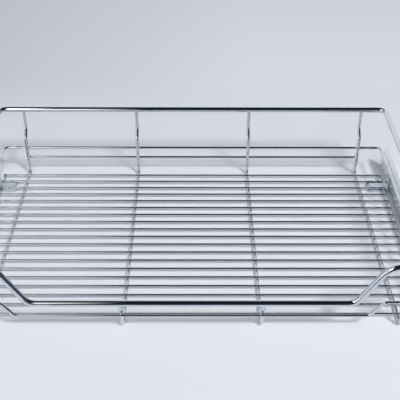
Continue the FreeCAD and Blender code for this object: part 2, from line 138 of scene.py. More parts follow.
class RunnerFinish(bpy.types.PropertyGroup):
    """Zinc-plated runner sections, their fasteners and moulded plastic."""

    zinc: bpy.props.FloatVectorProperty(
        name="Zinc colour", description="Bright zinc plating on rolled sheet",
        subtype="COLOR", size=3, default=(0.78, 0.80, 0.82), min=0.0, max=1.0)
    passivation: bpy.props.FloatVectorProperty(
        name="Passivation colour", description="Faint streaks of the zinc's passivation",
        subtype="COLOR", size=3, default=(0.76, 0.775, 0.77), min=0.0, max=1.0)
    bracket: bpy.props.FloatVectorProperty(
        name="Bracket colour", description="Blue passivated zinc on the pressed brackets",
        subtype="COLOR", size=3, default=(0.60, 0.675, 0.73), min=0.0, max=1.0)
    fastener: bpy.props.FloatVectorProperty(
        name="Fastener colour", description="Zinc on screws, nuts and rivets",
        subtype="COLOR", size=3, default=(0.70, 0.72, 0.735), min=0.0, max=1.0)
    fastener_streaks: bpy.props.FloatVectorProperty(
        name="Fastener streak colour", description="Colour of the streaks on fasteners",
        subtype="COLOR", size=3, default=(0.70, 0.70, 0.64), min=0.0, max=1.0)
    ball: bpy.props.FloatVectorProperty(
        name="Ball colour", description="Polished steel of the balls",
        subtype="COLOR", size=3, default=(0.80, 0.80, 0.81), min=0.0, max=1.0)
    ball_streaks: bpy.props.FloatVectorProperty(
        name="Ball streak colour", description="Oil and wear on the balls",
        subtype="COLOR", size=3, default=(0.72, 0.71, 0.69), min=0.0, max=1.0)
    plastic: bpy.props.FloatVectorProperty(
        name="Plastic colour", description="Colour of the moulded plastic",
        subtype="COLOR", size=3, default=(0.024, 0.024, 0.026), min=0.0, max=1.0)


class StudioSettings(bpy.types.PropertyGroup):
    """Floor, lamps and the camera."""

    floor_near: bpy.props.FloatVectorProperty(
        name="Near floor colour", description="Floor around the basket",
        subtype="COLOR", size=3, default=(0.80, 0.815, 0.855), min=0.0, max=1.0)
    # The rear floor's darker colour is painted shade, where the light falls off behind the basket
    floor_behind_shaded: bpy.props.FloatVectorProperty(
        name="Rear floor colour", description="Floor from the basket's back on",
        subtype="COLOR", size=3, default=(0.765, 0.795, 0.85), min=0.0, max=1.0)
    backdrop_low: bpy.props.FloatVectorProperty(
        name="Low backdrop colour", description="Backdrop just above the floor",
        subtype="COLOR", size=3, default=(0.665, 0.70, 0.745), min=0.0, max=1.0)
    # The backdrop's darker top is painted shade where the light falls off
    backdrop_high_shaded: bpy.props.FloatVectorProperty(
        name="High backdrop colour", description="Backdrop at the top of the picture",
        subtype="COLOR", size=3, default=(0.60, 0.635, 0.68), min=0.0, max=1.0)
    # The backdrop's darker left is painted shade where the light falls off
    backdrop_left_shaded: bpy.props.FloatVectorProperty(
        name="Left backdrop colour", description="Backdrop at the left of the picture",
        subtype="COLOR", size=3, default=(0.47, 0.495, 0.57), min=0.0, max=1.0)
    fill: bpy.props.FloatProperty(
        name="Fill strength", description="Strength of the light from all round",
        default=0.27, min=0.0, max=5.0)
    fill_colour: bpy.props.FloatVectorProperty(
        name="Fill colour", description="Cool light that the shadows keep",
        subtype="COLOR", size=3, default=(0.78, 0.85, 1.0), min=0.0, max=1.0)
    key_power: bpy.props.FloatProperty(
        name="Key power", description="Power of the key lamp, high in front on the right",
        default=415.0, min=0.0, unit="POWER")
    front_power: bpy.props.FloatProperty(
        name="Front power", description="Power of the wide lamp, high behind the camera",
        default=250.0, min=0.0, unit="POWER")
    key_size: bpy.props.FloatProperty(
        name="Key size", description="Side of the square key lamp",
        default=1.5, min=0.05, unit="LENGTH")
    lens: bpy.props.FloatProperty(
        name="Lens", description="Focal length on a sensor 36 mm wide",
        default=67.39, min=10.0, max=200.0)


# Node helpers

def add_node(tree, kind, **settings):
    """A node in a tree, with its properties and the values of its inputs set by name."""
    node = tree.nodes.new(kind)
    for key, value in settings.pop("inputs", {}).items():
        node.inputs[key].default_value = value
    for key, value in settings.items():
        setattr(node, key, value)
    return node


def new_group(name, inputs, outputs):
    """An empty shader group with its sockets. Returns the tree, its input and its output node."""
    tree = bpy.data.node_groups.new(name, "ShaderNodeTree")
    for label, kind, value in inputs:
        socket = tree.interface.new_socket(name=label, in_out="INPUT", socket_type=kind)
        if value is not None:
            socket.default_value = value
    for label, kind in outputs:
        tree.interface.new_socket(name=label, in_out="OUTPUT", socket_type=kind)
    return tree, tree.nodes.new("NodeGroupInput"), tree.nodes.new("NodeGroupOutput")


def maths(tree, operation, first, second, clamp=False):
    """A Math node; each operand is a socket or a number."""
    node = tree.nodes.new("ShaderNodeMath")
    node.operation = operation
    node.use_clamp = clamp
    for slot, operand in enumerate((first, second)):
        if isinstance(operand, (int, float)):
            node.inputs[slot].default_value = operand
        else:
            tree.links.new(operand, node.inputs[slot])
    return node.outputs[0]


def mix_colour(tree, factor, first, second):
    """A colour mix; each of the three is a socket or a value."""
    node = tree.nodes.new("ShaderNodeMix")
    node.data_type = "RGBA"
    for slot, operand in ((0, factor), (6, first), (7, second)):
        if isinstance(operand, bpy.types.NodeSocket):
            tree.links.new(operand, node.inputs[slot])
        else:
            node.inputs[slot].default_value = operand
    return node.outputs[2]


def rgba(colour):
    """A colour property as four numbers."""
    return (*colour, 1.0)


def smudge_group():
    """Handling marks: a soft patchy mask with fine grain in it."""
    name = "handling_smudges"
    if name in bpy.data.node_groups:
        return bpy.data.node_groups[name]
    tree, start, end = new_group(
        name,
        [("Vector", "NodeSocketVector", None), ("Scale", "NodeSocketFloat", 24.0),
         ("Base", "NodeSocketFloat", 0.03), ("Amount", "NodeSocketFloat", 0.06)],
        [("Mask", "NodeSocketFloat"), ("Roughness", "NodeSocketFloat")])
    link = tree.links.new
    patches = add_node(tree, "ShaderNodeTexNoise", inputs={"Detail": 3.0, "Roughness": 0.55})
    link(start.outputs["Vector"], patches.inputs["Vector"])
    link(start.outputs["Scale"], patches.inputs["Scale"])
    grain = add_node(tree, "ShaderNodeTexNoise", inputs={"Detail": 2.0, "Roughness": 0.7})
    link(start.outputs["Vector"], grain.inputs["Vector"])
    link(maths(tree, "MULTIPLY", start.outputs["Scale"], SMUDGE_GRAIN), grain.inputs["Scale"])
    spread = add_node(tree, "ShaderNodeMapRange", inputs={"From Min": 0.42, "From Max": 0.72})
    link(patches.outputs["Fac"], spread.inputs["Value"])
    broken = maths(tree, "MULTIPLY", spread.outputs["Result"], grain.outputs["Fac"], clamp=True)
    link(broken, end.inputs["Mask"])
    rough = maths(tree, "MULTIPLY", broken, start.outputs["Amount"])
    link(maths(tree, "ADD", rough, start.outputs["Base"]), end.inputs["Roughness"])
    return tree


def grain_group():
    """Surface grain, scaled along each axis: a fine height and broad streaks."""
    name = "surface_grain"
    if name in bpy.data.node_groups:
        return bpy.data.node_groups[name]
    tree, start, end = new_group(
        name,
        [("Vector", "NodeSocketVector", None),
         ("Stretch", "NodeSocketVector", (400.0, 400.0, 400.0))],
        [("Height", "NodeSocketFloat"), ("Streaks", "NodeSocketFloat")])
    link = tree.links.new
    scaled = add_node(tree, "ShaderNodeVectorMath", operation="MULTIPLY")
    link(start.outputs["Vector"], scaled.inputs[0])
    link(start.outputs["Stretch"], scaled.inputs[1])
    fine = add_node(tree, "ShaderNodeTexNoise",
                    inputs={"Scale": 1.0, "Detail": 4.0, "Roughness": 0.6})
    link(scaled.outputs[0], fine.inputs["Vector"])
    broad = add_node(tree, "ShaderNodeTexNoise",
                     inputs={"Scale": 0.17, "Detail": 2.0, "Roughness": 0.5})
    link(scaled.outputs[0], broad.inputs["Vector"])
    link(fine.outputs["Fac"], end.inputs["Height"])
    streaks = add_node(tree, "ShaderNodeMapRange", inputs={"From Min": 0.38, "From Max": 0.66})
    link(broad.outputs["Fac"], streaks.inputs["Value"])
    link(streaks.outputs["Result"], end.inputs["Streaks"])
    return tree


def place_group(tree, group, coordinates, **inputs):
    """A shared group in a material, fed with Object coordinates."""
    node = tree.nodes.new("ShaderNodeGroup")
    node.node_tree = group
    tree.links.new(coordinates, node.inputs["Vector"])
    for key, value in inputs.items():
        node.inputs[key].default_value = value
    return node


def new_material(name):
    """A material with one Principled shader. Returns it, its tree, shader and coordinates."""
    material = bpy.data.materials.new(name)
    material.use_nodes = True
    tree = material.node_tree
    tree.nodes.clear()
    output = tree.nodes.new("ShaderNodeOutputMaterial")
    shader = tree.nodes.new("ShaderNodeBsdfPrincipled")
    tree.links.new(shader.outputs[0], output.inputs["Surface"])
    coordinates = tree.nodes.new("ShaderNodeTexCoord").outputs["Object"]
    return material, tree, shader, coordinates


def bump(tree, shader, height, distance):
    """Feed a height to the shader's normal."""
    node = tree.nodes.new("ShaderNodeBump")
    node.inputs["Strength"].default_value = 1.0
    node.inputs["Distance"].default_value = distance
    tree.links.new(height, node.inputs["Height"])
    tree.links.new(node.outputs["Normal"], shader.inputs["Normal"])


def metal(name, colour, streaks, roughness, smudge, patches, grain, depth):
    """A plated metal: smudged roughness, streaks of a second colour and fine grain.

    The smudge's patches and the grain, along X, Y and Z, are counted per metre, and the
    grain's depth is in metres."""
    material, tree, shader, coordinates = new_material(name)
    shader.inputs["Metallic"].default_value = 1.0
    marks = place_group(tree, smudge_group(), coordinates,
                        Scale=patches, Base=roughness, Amount=smudge)
    tree.links.new(marks.outputs["Roughness"], shader.inputs["Roughness"])
    drawn = place_group(tree, grain_group(), coordinates, Stretch=grain)
    tint = mix_colour(tree, drawn.outputs["Streaks"], rgba(colour), rgba(streaks))
    tree.links.new(tint, shader.inputs["Base Color"])
    bump(tree, shader, drawn.outputs["Height"], depth)
    return material


def dress(material, nodes):
    """Give a finish to CAD nodes."""
    for name in nodes:
        node = NODES[name]
        for slot in node.material_slots:
            slot.material = material


def nodes_of(slot):
    """The CAD nodes whose record names one material slot."""
    return [s["node"] for s in frame["record"]["subparts"] if s["material_slot"] == slot]


# Finishes of the CAD pieces

class POTBASKET_OT_finish_wires(bpy.types.Operator):
    """Bright chrome on the rails, cross wires and floor wires"""

    bl_idname = "potbasket.finish_wires"
    bl_label = "Finish the wires"

    def execute(self, context):
        look = context.scene.basket_wires
        chrome = metal("bright_chrome", look.colour, [c * CHROME_STREAK for c in look.colour],
                       roughness=look.roughness, smudge=look.smudge, patches=22.0,
                       grain=(900.0, 900.0, 900.0), depth=look.ripple)
        dress(chrome, nodes_of("chrome_wire"))
        return {"FINISHED"}


class POTBASKET_OT_finish_tabs(bpy.types.Operator):
    """Chrome over pressed sheet on the four fixing tabs"""

    bl_idname = "potbasket.finish_tabs"
    bl_label = "Finish the tabs"

    def execute(self, context):
        look = context.scene.basket_wires
        plating = metal("pressed_tab_plating", look.tab, look.tab_streaks, roughness=0.16,
                        smudge=0.16, patches=60.0, grain=(500.0, 120.0, 500.0), depth=0.00001)
        dress(plating, nodes_of("tab_plating"))
        return {"FINISHED"}


class POTBASKET_OT_finish_runners(bpy.types.Operator):
    """Zinc on the rolled runner sections, brackets and ball cages"""

    bl_idname = "potbasket.finish_runners"
    bl_label = "Finish the runners"

    def execute(self, context):
        look = context.scene.basket_runners
        zinc = metal("rolled_zinc", look.zinc, look.passivation, roughness=0.24, smudge=0.18,
                     patches=30.0, grain=(700.0, 22.0, 700.0), depth=0.000008)
        dress(zinc, nodes_of("zinc_steel"))
        blue = metal("bracket_zinc", look.bracket, [c * BRACKET_STREAK for c in look.bracket],
                     roughness=0.24, smudge=0.18, patches=30.0, grain=(700.0, 90.0, 700.0),
                     depth=0.000008)
        dress(blue, [n for n in nodes_of("zinc_steel") if n.endswith("_bracket")])
        cage = metal("cage_strip", [c * CAGE_SHADE for c in look.zinc], look.zinc,
                     roughness=0.34, smudge=0.18, patches=80.0, grain=(500.0, 40.0, 500.0),
                     depth=0.00001)
        dress(cage, nodes_of("cage_steel"))
        return {"FINISHED"}


class POTBASKET_OT_finish_bearings(bpy.types.Operator):
    """Polished steel on the balls, bright zinc on rivets"""

    bl_idname = "potbasket.finish_bearings"
    bl_label = "Finish the bearings and rivets"

    def execute(self, context):
        look = context.scene.basket_runners
        balls = metal("polished_balls", look.ball, look.ball_streaks, roughness=0.04, smudge=0.1,
                      patches=300.0, grain=(800.0, 800.0, 800.0), depth=0.000002)
        dress(balls, nodes_of("polished_steel"))
        dress(fastener_metal(), nodes_of("fastener_zinc"))
        return {"FINISHED"}


class POTBASKET_OT_finish_plastic(bpy.types.Operator):
    """Moulded plastic with a fine spark grain on the bumpers and release levers"""

    bl_idname = "potbasket.finish_plastic"
    bl_label = "Finish the plastic"

    def execute(self, context):
        look = context.scene.basket_runners
        material, tree, shader, coordinates = new_material("moulded_plastic")
        marks = place_group(tree, smudge_group(), coordinates, Scale=90.0, Base=0.42, Amount=0.25)
        tree.links.new(marks.outputs["Roughness"], shader.inputs["Roughness"])
        scuffed = [min(1.0, c + SCUFF) for c in look.plastic]
        tint = mix_colour(tree, marks.outputs["Mask"], rgba(look.plastic), rgba(scuffed))
        tree.links.new(tint, shader.inputs["Base Color"])
        grain = place_group(tree, grain_group(), coordinates, Stretch=(2600.0, 2600.0, 2600.0))
        bump(tree, shader, grain.outputs["Height"], distance=0.00004)
        dress(material, nodes_of("black_plastic"))
        return {"FINISHED"}


def fastener_metal():
    """Zinc on small fasteners."""
    name = "fastener_plating"
    if name in bpy.data.materials:
        return bpy.data.materials[name]
    look = bpy.context.scene.basket_runners
    return metal(name, look.fastener, look.fastener_streaks, roughness=0.2, smudge=0.16,
                 patches=240.0, grain=(900.0, 900.0, 900.0), depth=0.000006)


# New pieces

def finished_piece(name, mesh_edit, material, body=BASKET):
    """A mesh object made by a bmesh function, in place, that rides on a body."""
    mesh = bpy.data.meshes.new(name)
    work = bmesh.new()
    mesh_edit(work)
    bmesh.ops.recalc_face_normals(work, faces=work.faces)
    work.to_mesh(mesh)
    work.free()
    for polygon in mesh.polygons:
        polygon.use_smooth = True
    mesh.materials.append(material)
    piece = bpy.data.objects.new(name, mesh)
    bpy.context.scene.collection.objects.link(piece)
    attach(piece, body)
    return piece


def centre_of(node):
    """The middle of a CAD node's box."""
    low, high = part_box(node)
    return (low + high) / 2


def bead(work, place, reach):
    """One weld bead: a flattened ball with half sizes reach about a place."""
    turn = Matrix.Translation(place) @ Matrix.Diagonal((*reach, 1.0))
    bmesh.ops.create_icosphere(work, subdivisions=1, radius=1.0, matrix=turn)


def weld_metal():
    """Chrome over a weld: rougher than on the wire, with darker streaks."""
    name = "plated_weld"
    if name in bpy.data.materials:
        return bpy.data.materials[name]
    look = bpy.context.scene.basket_wires
    return metal(name, look.weld, look.weld_streaks, roughness=0.09, smudge=0.2,
                 patches=400.0, grain=(1500.0, 1500.0, 1500.0), depth=0.00003)


def names_from(stem):
    """The CAD nodes whose names start with a stem."""
    return sorted(n for n in NODES if n.startswith(stem))


class POTBASKET_OT_floor_welds(bpy.types.Operator):
    """Weld beads where the floor wires cross the cross wires, border wires and tabs"""

    bl_idname = "potbasket.floor_welds"
    bl_label = "Weld the floor"

    def execute(self, context):
        sizes = context.scene.basket_welds
        reach = (sizes.crossing_reach, sizes.crossing_reach, sizes.crossing_height)
        seams = [centre_of(n).x for n in names_from("cross_wire_")]
        seams += [centre_of(f"{side}_border_wire").x for side in ("left", "right")]
        rows = [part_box(n) for n in names_from("floor_wire_")]

        def shape(work):
            for low, high in rows:
                for x in seams:
                    bead(work, Vector((x, (low.y + high.y) / 2, low.z)), reach)

        finished_piece("floor_weld_beads", shape, weld_metal())

        def tab_shape(work):
            for node in nodes_of("tab_plating"):
                low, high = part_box(node)
                for row_low, row_high in rows:
                    y = (row_low.y + row_high.y) / 2
                    if low.y < y < high.y:
                        for share in TAB_BEADS:
                            x = low.x + share * (high.x - low.x)
                            bead(work, Vector((x, y, high.z)), reach)

        finished_piece("tab_weld_beads", tab_shape, weld_metal())
        return {"FINISHED"}


def rim_radius():
    """Half the rim rod's diameter, from how far it stands out past a cross wire's upright."""
    low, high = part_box("cross_wire_1")
    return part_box("top_rail")[1].y - high.y + (high.x - low.x) / 2


class POTBASKET_OT_rail_welds(bpy.types.Operator):
    """Weld beads where the uprights meet the rails and the rim"""

    bl_idname = "potbasket.rail_welds"
    bl_label = "Weld the rails"

    def execute(self, context):
        sizes = context.scene.basket_welds
        flat = (sizes.crossing_reach, sizes.crossing_height, sizes.crossing_reach)
        collar = (sizes.collar_reach, sizes.collar_reach, sizes.collar_height)
        rim_low, rim_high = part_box("top_rail")
        rail_low, rail_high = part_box("middle_rail")
        back_low, back_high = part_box("lower_back_rail")
        rim_r, wire_r = rim_radius(), (back_high.z - back_low.z) / 2
        contact_y = back_low.y

        def shape(work):
            for node in names_from("cross_wire_"):
                x = centre_of(node).x
                dipped = node in DIPPED_WIRES
                rail_z = rail_high.z - wire_r
                front_z = rail_low.z + wire_r if dipped else rail_z
                bead(work, Vector((x, contact_y, rail_z)), flat)
                bead(work, Vector((x, contact_y, centre_of("lower_back_rail").z)), flat)
                bead(work, Vector((x, -contact_y, front_z)), flat)
                under_rim = rim_high.z - 2 * rim_r
                bead(work, Vector((x, rim_high.y - rim_r, under_rim)), collar)
                front_rim = rim_low.z if dipped else under_rim
                bead(work, Vector((x, rim_low.y + rim_r, front_rim)), collar)

        finished_piece("rail_weld_beads", shape, weld_metal())
        return {"FINISHED"}


def screw_places():
    """The middle of each tab's screw, on top of its tongue."""
    places = []
    for side in ("left", "right"):
        for end in ("rear", "front"):
            low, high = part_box(f"{side}_{end}_tab")
            bracket_low, bracket_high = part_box(f"{side}_{end}_bracket")
            inner = bracket_low.x if side == "right" else bracket_high.x
            outer = high.x if side == "right" else low.x
            x, y = (inner + outer) / 2, (low.y + high.y) / 2
            places.append(Vector((x, y, high.z + TONGUE_SHEET)))
    return places


def ring_of(kind, made):
    """The vertices or edges among what an operator made."""
    return [g for g in made if isinstance(g, kind)]


def plus_outline(work, arm, half):
    """The twelve edges of a plus sign round the origin, for a screw's recess."""
    corners = [(half, half), (arm, half), (arm, -half), (half, -half), (half, -arm),
               (-half, -arm), (-half, -half), (-arm, -half), (-arm, half), (-half, half),
               (-half, arm), (half, arm)]
    ring = [work.verts.new((x, y, 0.0)) for x, y in corners]
    return [work.edges.new((ring[i], ring[i - 1])) for i in range(len(ring))]


def step_down(work, edges, depth, share):
    """Extrude a ring of edges down and scale it. Returns the new ring's edges and vertices."""
    made = bmesh.ops.extrude_edge_only(work, edges=edges)["geom"]
    verts = ring_of(bmesh.types.BMVert, made)
    bmesh.ops.translate(work, verts=verts, vec=(0, 0, -depth))
    bmesh.ops.scale(work, verts=verts, vec=(share, share, 1.0))
    return ring_of(bmesh.types.BMEdge, made), verts


def countersunk_screw(work, place, length):
    """A countersunk screw with a cross recess, its head's top at place."""
    rim = bmesh.ops.create_circle(work, segments=ROUND_SEGMENTS, radius=SCREW_HEAD_R)["verts"]
    rim_edges = list({e for v in rim for e in v.link_edges})
    plus = plus_outline(work, RECESS_ARM, RECESS_HALF)
    plus_verts = list({v for e in plus for v in e.verts})
    bmesh.ops.bridge_loops(work, edges=rim_edges + plus)
    bottom, everything = step_down(work, plus, RECESS_DEPTH, RECESS_TAPER)
    bmesh.ops.edgeloop_fill(work, edges=bottom)
    cone = SCREW_HEAD_R - SCREW_R - SCREW_LAND
    steps = (
        (SCREW_LAND, 1.0),
        (cone, SCREW_R / SCREW_HEAD_R),
        (length - SCREW_LAND - cone - SCREW_CHAMFER, 1.0),
        (SCREW_CHAMFER, 1.0 - SCREW_CHAMFER / SCREW_R),
    )
    edges = rim_edges
    for depth, share in steps:
        edges, verts = step_down(work, edges, depth, share)
        everything += verts
    bmesh.ops.edgeloop_fill(work, edges=edges)
    bmesh.ops.translate(work, verts=everything + rim + plus_verts, vec=place)


class POTBASKET_OT_tab_screws(bpy.types.Operator):
    """Countersunk screws with a cross recess in the brackets' tongues"""

    bl_idname = "potbasket.tab_screws"
    bl_label = "Fit the tab screws"

    def execute(self, context):
        low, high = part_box("tab_screws")

        def shape(work):
            for place in screw_places():
                countersunk_screw(work, place, high.z - low.z)

        piece = finished_piece("countersunk_screws", shape, fastener_metal())
        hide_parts("tab_screws")
        sharpen(piece)
        return {"FINISHED"}


def sharpen(piece):
    """Shade a small machined piece smooth, but keep its corners."""
    piece.data.set_sharp_from_angle(angle=CORNER_ANGLE)


class POTBASKET_OT_tab_nuts(bpy.types.Operator):
    """Thin hexagon nuts with bevelled rims under the tabs"""

    bl_idname = "potbasket.tab_nuts"
    bl_label = "Fit the tab nuts"

    def execute(self, context):
        low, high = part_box("tab_nuts")
        corner_r = NUT_HALF_FLATS / math.cos(math.pi / 6)

        def shape(work):
            for place in screw_places():
                ring = bmesh.ops.create_circle(work, segments=ROUND_SEGMENTS,
                                               radius=SCREW_R)["verts"]
                inner = list({e for v in ring for e in v.link_edges})
                hexagon = bmesh.ops.create_circle(work, segments=6, radius=corner_r)["verts"]
                outer = list({e for v in hexagon for e in v.link_edges})
                face = bmesh.ops.bridge_loops(work, edges=inner + outer)["faces"]
                body = bmesh.ops.extrude_face_region(work, geom=face)["geom"]
                lifted = ring_of(bmesh.types.BMVert, body)
                bmesh.ops.translate(work, verts=lifted, vec=(0, 0, high.z - low.z))
                mine = set(ring) | set(hexagon) | set(lifted)
                far = {v for v in mine if math.hypot(v.co.x, v.co.y) > NUT_HALF_FLATS}
                rims = [e for e in {e for v in far for e in v.link_edges}
                        if set(e.verts) <= far and e.verts[0].co.z == e.verts[1].co.z]
                made = bmesh.ops.bevel(work, geom=rims, offset=NUT_BEVEL, segments=2, profile=0.5,
                                       affect="EDGES", material=-1)
                mine = [v for v in mine | set(made["verts"]) if v.is_valid]
                bmesh.ops.translate(work, verts=mine, vec=(place.x, place.y, low.z))

        piece = finished_piece("hexagon_nuts", shape, fastener_metal())
        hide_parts("tab_nuts")
        sharpen(piece)
        return {"FINISHED"}


# The studio

# Floor, in metres along Y, and along X for the backdrop's left; the rear floor and the backdrop's
# top and left are darker, painted shade
FLOOR_R = 14.0
FLOOR_SEGMENTS = 64
# FLOOR_STEP is where the floor turns to its darker rear colour: painted shade
FLOOR_STEP = (0.19, 0.26)
BACKDROP_START = (0.34, 0.62)
BACKDROP_RISE = (0.6, 1.1)
BACKDROP_LEFT_SHADE = (0.15, -0.75)

# Reflections lose the floor past TABLE_FRONT, right of the line x = ROOM_LEFT + ROOM_SLANT * y
TABLE_FRONT = -0.53
ROOM_LEFT = -0.154
ROOM_SLANT = 0.2

# Cards: a dome of radius DOME_R, cut by planes at shares of that radius. Each left wall has
# its right edge and its top. A card has a low and a high colour
DOME_R = 4.0
DOME_SEGMENTS = (96, 48)
DOME_FADE = 0.6
WALL_EDGE = 0.66
RIGHT_GREY = 0.24
RIGHT_TOP = 0.6
LEFT_LOW_WALL = (-0.3, 0.36)
LEFT_HIGH_WALL = (-0.35, 0.96)
LEFT_BACK = 0.3
ROOM_LOW = (0.028, 0.062, 0.125)
ROOM_HIGH = (0.011, 0.016, 0.024)
RIGHT_WALL = (0.08, 0.08, 0.10)
LEFT_WALL = (0.80, 0.835, 0.90)
CARDS_LIT = (1.35, 1.38, 1.42)
CARDS = {
    "room": (ROOM_LOW, ROOM_HIGH),
    "far_wall": ((0.96, 0.98, 1.0), (0.80, 0.83, 0.89)),
    "right_wall": (RIGHT_WALL, RIGHT_WALL),
    "left_wall": (LEFT_WALL, LEFT_WALL),
}

# A panel and a window among the cards, in metres
PANEL_WIDTH = (-0.95, -0.14)
PANEL_RISE = (0.165, 0.60)
PANEL_Y = -0.41
PANEL_FADE = (-0.14, -0.30)
PANEL_COLOUR = (1.5, 1.48, 1.42)
WINDOW_PLACE = (-1.05, -1.5, 1.7)
WINDOW_HALF = 0.28
WINDOW_COLOUR = (6.0, 5.9, 5.7)

# Lamps: places and the wide lamp's side in metres
KEY_PLACE = (3.2, -3.86, 6.43)
KEY_COLOUR = (1.0, 0.975, 0.935)
FRONT_PLACE = (0.0, -6.4, 5.36)
FRONT_SIZE = 5.0
FRONT_COLOUR = (0.93, 0.955, 1.0)

# The world as the camera and the reflections see it
PALE_WORLD = (0.69, 0.72, 0.77)

# Camera: its place and reach in metres, its turns in radians, its sensor in millimetres
CAMERA_PLACE = (0.0033632, -1.0028906, 0.8367717)
CAMERA_DOWN = 0.6417
CAMERA_TURN = 0.0092
CAMERA_TILT = 0.0064
CAMERA_SENSOR = 36.0
CAMERA_REACH = 60.0


def ramp(tree, coordinate, span, smooth=False):
    """0 to 1 as a coordinate goes over a span."""
    node = add_node(tree, "ShaderNodeMapRange", inputs={"From Min": span[0], "From Max": span[1]})
    node.interpolation_type = "SMOOTHSTEP" if smooth else "LINEAR"
    tree.links.new(coordinate, node.inputs["Value"])
    return node.outputs["Result"]


def sight(tree):
    """1 for the camera's rays and those that metal or glass sends on; then 1 for metal's alone."""
    path = tree.nodes.new("ShaderNodeLightPath")
    glossy = path.outputs["Is Glossy Ray"]
    seen = maths(tree, "MAXIMUM", path.outputs["Is Camera Ray"], glossy)
    return maths(tree, "MAXIMUM", seen, path.outputs["Is Transmission Ray"]), glossy


def studio_floor(look):
    """A pale floor that turns into a pale backdrop, with painted shade: darker from the basket's
    back on, and the backdrop darker towards its top and its left. In reflections it ends in
    front, at a dark room that doesn't reach the left."""
    material, tree, shader, coordinates = new_material("studio_floor")
    split = tree.nodes.new("ShaderNodeSeparateXYZ")
    tree.links.new(coordinates, split.inputs[0])
    x, y = split.outputs["X"], split.outputs["Y"]
    # Near floor to darker rear floor: painted shade
    tint = mix_colour(tree, ramp(tree, y, FLOOR_STEP, smooth=True), rgba(look.floor_near),
                      rgba(look.floor_behind_shaded))
    tree.links.new(tint, shader.inputs["Base Color"])
    shader.inputs["Roughness"].default_value = 0.6
    shader.inputs["Specular IOR Level"].default_value = 0.2

    seen, glossy = sight(tree)
    # The backdrop darkens towards its top and its left: painted shade
    pale = mix_colour(tree, ramp(tree, y, BACKDROP_RISE), rgba(look.backdrop_low),
                      rgba(look.backdrop_high_shaded))
    pale = mix_colour(tree, ramp(tree, x, BACKDROP_LEFT_SHADE), pale, rgba(look.backdrop_left_shaded))
    backdrop = tree.nodes.new("ShaderNodeEmission")
    tree.links.new(pale, backdrop.inputs["Color"])
    behind = tree.nodes.new("ShaderNodeMixShader")
    tree.links.new(maths(tree, "MULTIPLY", seen, ramp(tree, y, BACKDROP_START, smooth=True)),
                   behind.inputs[0])
    tree.links.new(shader.outputs[0], behind.inputs[1])
    tree.links.new(backdrop.outputs[0], behind.inputs[2])

    aside = maths(tree, "SUBTRACT", x, maths(tree, "MULTIPLY", y, ROOM_SLANT))
    past = maths(tree, "MULTIPLY", maths(tree, "LESS_THAN", y, TABLE_FRONT),
                 maths(tree, "GREATER_THAN", aside, ROOM_LEFT))
    unlit = maths(tree, "MULTIPLY", past, glossy)
    dark = add_node(tree, "ShaderNodeEmission", inputs={"Color": rgba(ROOM_LOW)})
    front = tree.nodes.new("ShaderNodeMixShader")
    tree.links.new(unlit, front.inputs[0])
    tree.links.new(behind.outputs[0], front.inputs[1])
    tree.links.new(dark.outputs[0], front.inputs[2])
    output = next(n for n in tree.nodes if n.type == "OUTPUT_MATERIAL")
    tree.links.new(front.outputs[0], output.inputs["Surface"])
    mesh = bpy.data.meshes.new("floor")
    work = bmesh.new()
    bmesh.ops.create_circle(work, cap_ends=True, segments=FLOOR_SEGMENTS, radius=FLOOR_R)
    work.to_mesh(mesh)
    work.free()
    mesh.materials.append(material)
    floor = bpy.data.objects.new("floor", mesh)
    bpy.context.scene.collection.objects.link(floor)


def card_glow(name, low, high, axis="Z", span=(0.0, DOME_R * DOME_FADE)):
    """A glow for reflections, from one colour to another over a span of an axis.

    What the wires throw back on the floor comes from lit cards, as in a real studio."""
    material = bpy.data.materials.new(name)
    material.use_nodes = True
    tree = material.node_tree
    tree.nodes.clear()
    output = tree.nodes.new("ShaderNodeOutputMaterial")
    glow = tree.nodes.new("ShaderNodeEmission")
    seen = rgba(low)
    if low != high:
        split = tree.nodes.new("ShaderNodeSeparateXYZ")
        tree.links.new(tree.nodes.new("ShaderNodeTexCoord").outputs["Object"], split.inputs[0])
        seen = mix_colour(tree, ramp(tree, split.outputs[axis], span), seen, rgba(high))
    depth = tree.nodes.new("ShaderNodeLightPath").outputs["Diffuse Depth"]
    thrown = maths(tree, "GREATER_THAN", depth, 0.5)
    tree.links.new(mix_colour(tree, thrown, seen, rgba(CARDS_LIT)), glow.inputs["Color"])
    tree.links.new(glow.outputs[0], output.inputs["Surface"])
    return material


def card_at(place):
    """Which card a direction from the basket meets."""
    x, y, z = place.normalized()
    if y > WALL_EDGE:
        return "far_wall"
    if x > RIGHT_GREY and z < RIGHT_TOP and y < 0:
        return "right_wall"
    for edge, top in (LEFT_LOW_WALL, LEFT_HIGH_WALL):
        if x < edge and z < top and y < LEFT_BACK:
            return "left_wall"
    return "room"


def studio_cards():
    """A dome of cards round the set. Only reflections in the metal see it."""
    mesh = bpy.data.meshes.new("cards")
    work = bmesh.new()
    bmesh.ops.create_uvsphere(work, u_segments=DOME_SEGMENTS[0],
                              v_segments=DOME_SEGMENTS[1], radius=DOME_R)
    planes = [((1, 0, 0), RIGHT_GREY), ((0, 0, 1), RIGHT_TOP), ((0, 0, 1), 0.0),
              ((0, 1, 0), WALL_EDGE), ((0, 1, 0), 0.0), ((0, 1, 0), LEFT_BACK)]
    for edge, top in (LEFT_LOW_WALL, LEFT_HIGH_WALL):
        planes += [((1, 0, 0), edge), ((0, 0, 1), top)]
    for normal, share in planes:
        geometry = list(work.verts) + list(work.edges) + list(work.faces)
        bmesh.ops.bisect_plane(work, geom=geometry, plane_co=Vector(normal) * share * DOME_R,
                               plane_no=normal)
    names = list(CARDS)
    gone = []
    for face in work.faces:
        middle = face.calc_center_median()
        if middle.z < 0:
            gone.append(face)
        else:
            face.material_index = names.index(card_at(middle))
    bmesh.ops.delete(work, geom=gone, context="FACES")
    work.to_mesh(mesh)
    work.free()
    for name, (low, high) in CARDS.items():
        mesh.materials.append(card_glow(f"{name}_card", low, high))
    reflected_only("cards", mesh)


